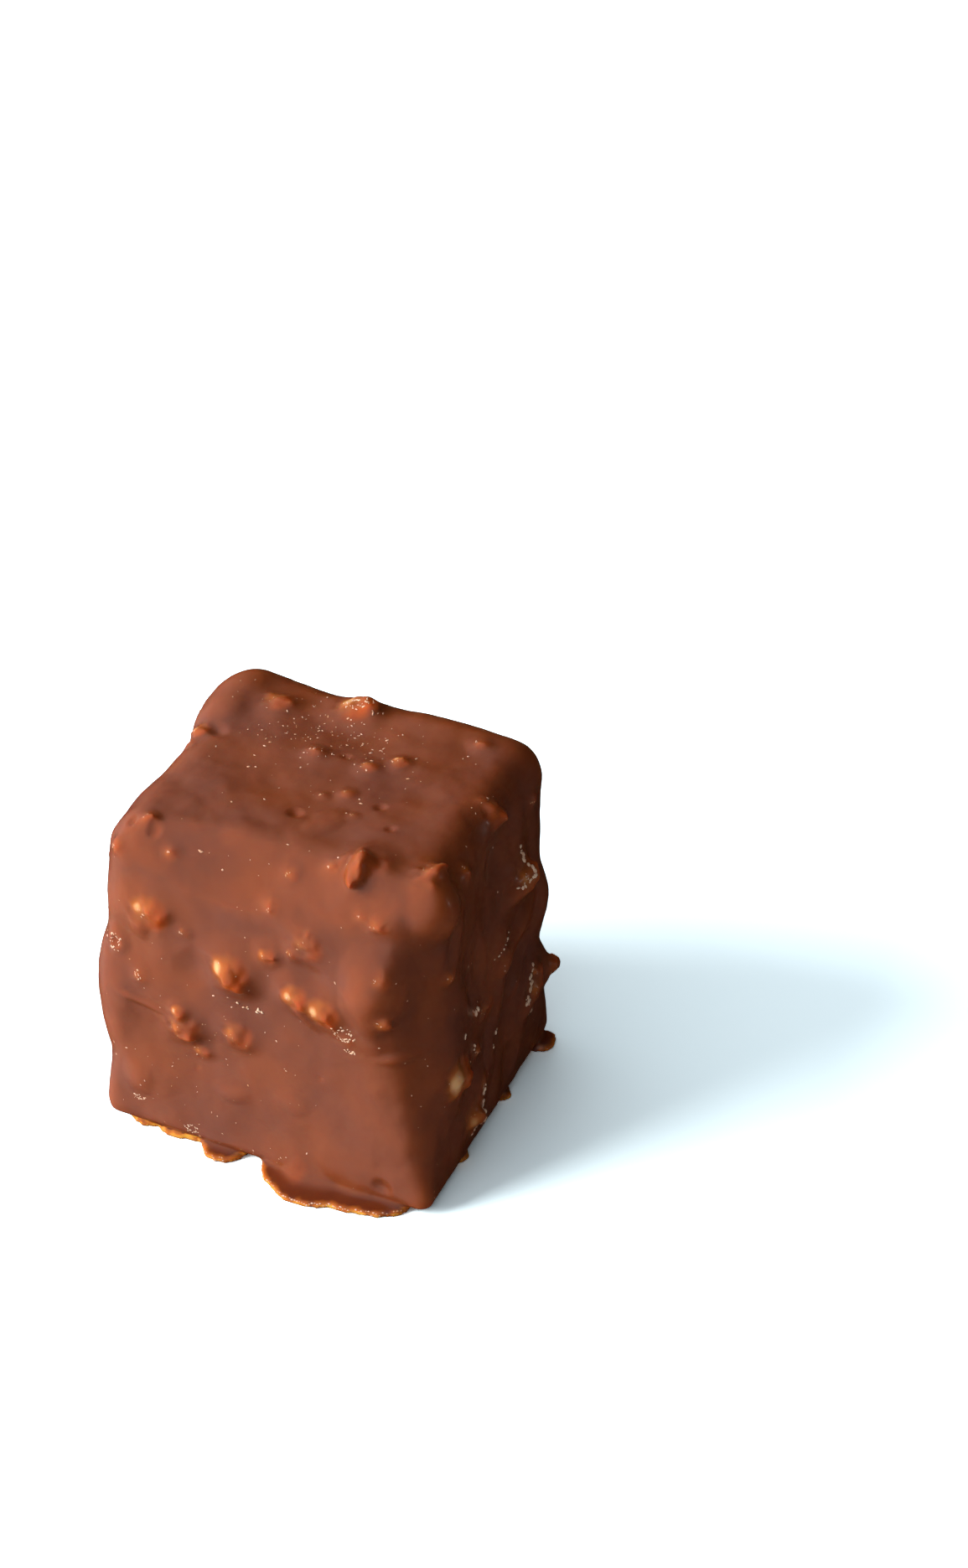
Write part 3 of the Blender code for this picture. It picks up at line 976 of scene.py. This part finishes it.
def chocolateMaterial():
    material = bpy.data.materials.new("milkChocolate")
    material.use_nodes = True
    nodes, links = material.node_tree.nodes, material.node_tree.links
    surface = nodes["Principled BSDF"]
    place = nodes.new("ShaderNodeTexCoord").outputs["Object"]
    blotch = noiseTexture(nodes, links, place, *chocolate["blotchNoise"])
    blotch = mapRange(nodes, links, blotch, *chocolate["blotchRange"])
    tone = mixColours(nodes, links, blotch, chocolate["base"], chocolate["ruddy"])
    # painted glow: the crests that stand out go lighter and more orange
    low, high = chocolate["crestGlowRange"]
    paintedCrestGlow = mapRange(nodes, links, attribute(nodes, "paintedCrestGlow"), low, high, 0.0, chocolate["crestGlowShare"])
    tone = mixColours(nodes, links, paintedCrestGlow, tone, chocolate["paintedCrestGlow"])
    # painted shade on the nuts' far sides and in the pits
    tone = mixColours(nodes, links, attribute(nodes, "paintedShade"), tone, chocolate["paintedShadeColour"])
    # thin coat over nuts, with a painted highlight on their lit side
    thinAndHighlight = attribute(nodes, "thinNutAndHighlight")
    share = mapRange(nodes, links, thinAndHighlight, *chocolate["toffeeRange"])
    tone = mixColours(nodes, links, share, tone, chocolate["toffee"])
    share = mapRange(nodes, links, thinAndHighlight, *chocolate["nutRange"])
    tone = mixColours(nodes, links, share, tone, chocolate["nut"])
    # the dark foot, partly painted shade under the body
    tone = mixColours(nodes, links, attribute(nodes, "darkFootAndShade"), tone, chocolate["darkFootAndShade"])
    # painted glow and glint along the foot's rim
    rim = attribute(nodes, "paintedRimGlow")
    share = mapRange(nodes, links, rim, *chocolate["rimGlowRange"])
    tone = mixColours(nodes, links, share, tone, chocolate["rim"])
    share = mapRange(nodes, links, rim, *chocolate["rimEdgeGlintRange"])
    tone = mixColours(nodes, links, share, tone, chocolate["rimEdgeGlint"])
    links.new(tone, surface.inputs["Base Color"])
    surface.inputs["Roughness"].default_value = chocolate["roughness"]
    surface.inputs["Coat Weight"].default_value = chocolate["coat"]
    surface.inputs["Coat Roughness"].default_value = chocolate["coatRoughness"]
    surface.inputs["Subsurface Weight"].default_value = chocolate["scatter"]
    surface.inputs["Subsurface Radius"].default_value = chocolate["scatterReach"]
    surface.inputs["Subsurface Scale"].default_value = chocolate["scatterDepth"] * mm
    bump = nodes.new("ShaderNodeBump")
    bump.inputs["Strength"].default_value = chocolate["grainStrength"]
    bump.inputs["Distance"].default_value = chocolate["grainDepth"] * mm
    links.new(noiseTexture(nodes, links, place, *chocolate["grainNoise"]), bump.inputs["Height"])
    links.new(bump.outputs["Normal"], surface.inputs["Normal"])
    return material


def crumbMaterial():
    material = bpy.data.materials.new("roastedCrumb")
    material.use_nodes = True
    nodes, links = material.node_tree.nodes, material.node_tree.links
    surface = nodes["Principled BSDF"]
    place = nodes.new("ShaderNodeTexCoord").outputs["Object"]
    shade = noiseTexture(nodes, links, place, *crumbs["shadeNoise"])
    shade = mapRange(nodes, links, shade, *crumbs["shadeRange"])
    tone = mixColours(nodes, links, shade, crumbs["cream"], crumbs["toffee"])
    # painted glints: the paler crumbs go towards the glint colour
    tone = mixColours(nodes, links, attribute(nodes, "paleHighlight"), tone, crumbs["paintedGlint"])
    links.new(tone, surface.inputs["Base Color"])
    surface.inputs["Roughness"].default_value = crumbs["roughness"]
    return material


# a plain pale floor, one broad light from the left and a cool fill
studio = {
    "floorSize": 3.0,
    "floor": (0.56, 0.56, 0.56, 1),
    "floorSeen": (1.75, 2.08, 2.18, 1),  # exposed until the white floor clips
    "camera": (124.15, -235.09, 221.72),
    "lens": 79.77,
    "nearest": 0.01,
    "heading": 24.6,
    "tilt": 35.078,
    "roll": 0.324,
    "key": 6.45,  # watts
    "keyDistance": 0.60,
    "keySize": 0.42,
    "keyAzimuth": -52.0,
    "keyHeight": 25.5,
    "keyColour": (1.0, 0.99, 0.98),
    # a low lamp behind, for the sides away from the key
    "rear": 0.8,
    "rearDistance": 0.60,
    "rearSize": 0.45,
    "rearAzimuth": -155.0,
    "rearHeight": 6.0,
    "rearColour": (1.0, 0.99, 0.98),
    # a small lamp that only shows as glints on the dark side
    "glint": 0.012,
    "glintDistance": 0.30,
    "glintSize": 0.02,
    "glintAzimuth": 115.0,
    "glintHeight": 12.0,
    "glintColour": (1.0, 0.97, 0.95),
    "fill": 0.69,
    "fillLight": (0.95, 0.97, 1.0, 1),
    "fillDark": (0.008, 0.004, 0.003, 1),
    "fillFrom": (-0.55, -0.50, 0.35),  # the side of the room that is light
    "fillRange": (-0.08, 0.34),
    "farFloor": (0.050, 0.040, 0.046, 1),  # mirrored faintly in the dark side
    "farFrom": (0.79, 0.35, -0.50),
    "farRange": (0.78, 0.98),
}


def makeCamera():
    camera = bpy.data.objects.new("camera", bpy.data.cameras.new("camera"))
    bpy.context.scene.collection.objects.link(camera)
    camera.data.lens = studio["lens"]
    camera.data.clip_start = studio["nearest"]
    place = Matrix.Translation(Vector(studio["camera"]) * mm)
    heading = Matrix.Rotation(math.radians(studio["heading"]), 4, "Z")
    tilt = Matrix.Rotation(math.radians(90.0 - studio["tilt"]), 4, "X")
    roll = Matrix.Rotation(math.radians(-studio["roll"]), 4, "Z")
    camera.matrix_world = place @ heading @ tilt @ roll
    bpy.context.scene.camera = camera


def makeLamp(name):
    # a round lamp aimed at the middle of the praline
    lamp = bpy.data.objects.new(name, bpy.data.lights.new(name, "AREA"))
    bpy.context.scene.collection.objects.link(lamp)
    lamp.data.energy = studio[name]
    lamp.data.color = studio[name + "Colour"]
    lamp.data.shape = "DISK"
    lamp.data.size = studio[name + "Size"]
    lamp.visible_camera = False
    azimuth, height = math.radians(studio[name + "Azimuth"]), math.radians(studio[name + "Height"])
    level = math.cos(height)
    towards = Vector((math.sin(azimuth) * level, -math.cos(azimuth) * level, math.sin(height)))
    lamp.location = towards * studio[name + "Distance"] + Vector((0, 0, block["height"] / 2 * mm))
    lamp.rotation_mode = "QUATERNION"
    lamp.rotation_quaternion = towards.to_track_quat("Z", "Y")
    return lamp


def turnedTo(nodes, links, direction, way):
    # how far a direction turns to one side of the room
    turned = nodes.new("ShaderNodeVectorMath")
    turned.operation = "DOT_PRODUCT"
    turned.inputs[1].default_value = way
    links.new(direction, turned.inputs[0])
    return turned.outputs["Value"]


def makeLights():
    for name in ("key", "rear"):
        makeLamp(name).visible_glossy = False  # the sheen comes from the room alone
    makeLamp("glint").visible_diffuse = False

    world = bpy.data.worlds.new("studio")
    bpy.context.scene.world = world
    world.use_nodes = True
    nodes, links = world.node_tree.nodes, world.node_tree.links
    backdrop = nodes["Background"]
    backdrop.inputs["Strength"].default_value = studio["fill"]
    direction = nodes.new("ShaderNodeTexCoord").outputs["Generated"]
    share = turnedTo(nodes, links, direction, studio["fillFrom"])
    share = mapRange(nodes, links, share, *studio["fillRange"])
    room = mixColours(nodes, links, share, studio["fillDark"], studio["fillLight"])
    share = turnedTo(nodes, links, direction, studio["farFrom"])
    share = mapRange(nodes, links, share, *studio["farRange"])
    links.new(mixColours(nodes, links, share, room, studio["farFloor"]), backdrop.inputs["Color"])


def makeFloor():
    bm = bmesh.new()
    bmesh.ops.create_grid(bm, x_segments=1, y_segments=1, size=studio["floorSize"])
    data = bpy.data.meshes.new("floor")
    bm.to_mesh(data)
    bm.free()
    floor = bpy.data.objects.new("floor", data)
    bpy.context.scene.collection.objects.link(floor)
    paint = bpy.data.materials.new("floorPaint")
    paint.use_nodes = True
    nodes, links = paint.node_tree.nodes, paint.node_tree.links
    nodes.remove(nodes["Principled BSDF"])
    coats = []
    for colour in (studio["floor"], studio["floorSeen"]):
        coat = nodes.new("ShaderNodeBsdfDiffuse")
        coat.inputs["Color"].default_value = colour
        coats.append(coat.outputs["BSDF"])
    seen = nodes.new("ShaderNodeMixShader")
    links.new(nodes.new("ShaderNodeLightPath").outputs["Is Camera Ray"], seen.inputs["Fac"])
    links.new(coats[0], seen.inputs[1])
    links.new(coats[1], seen.inputs[2])
    links.new(seen.outputs["Shader"], nodes["Material Output"].inputs["Surface"])
    data.materials.append(paint)
    floor.visible_glossy = False  # the dark side mirrors the dark side of the room, not the floor


makeCamera()
makeLights()
makeFloor()
bpy.context.scene.view_settings.view_transform = "Standard"
print("praline: camera, lights and floor set")

coatingPiece, coatingSurface, footRim, nutsLying = makeCoating()
coatingPiece.data.materials.clear()
coatingPiece.data.materials.append(chocolateMaterial())
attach(coatingPiece, "root")
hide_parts("praline")

crumbPiece = makeCrumbs(coatingSurface, footRim, nutsLying)
crumbPiece.data.materials.append(crumbMaterial())
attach(crumbPiece, "root")
print("praline: crumbs dropped,", len(crumbPiece.data.polygons), "faces")

bpy.context.view_layer.update()
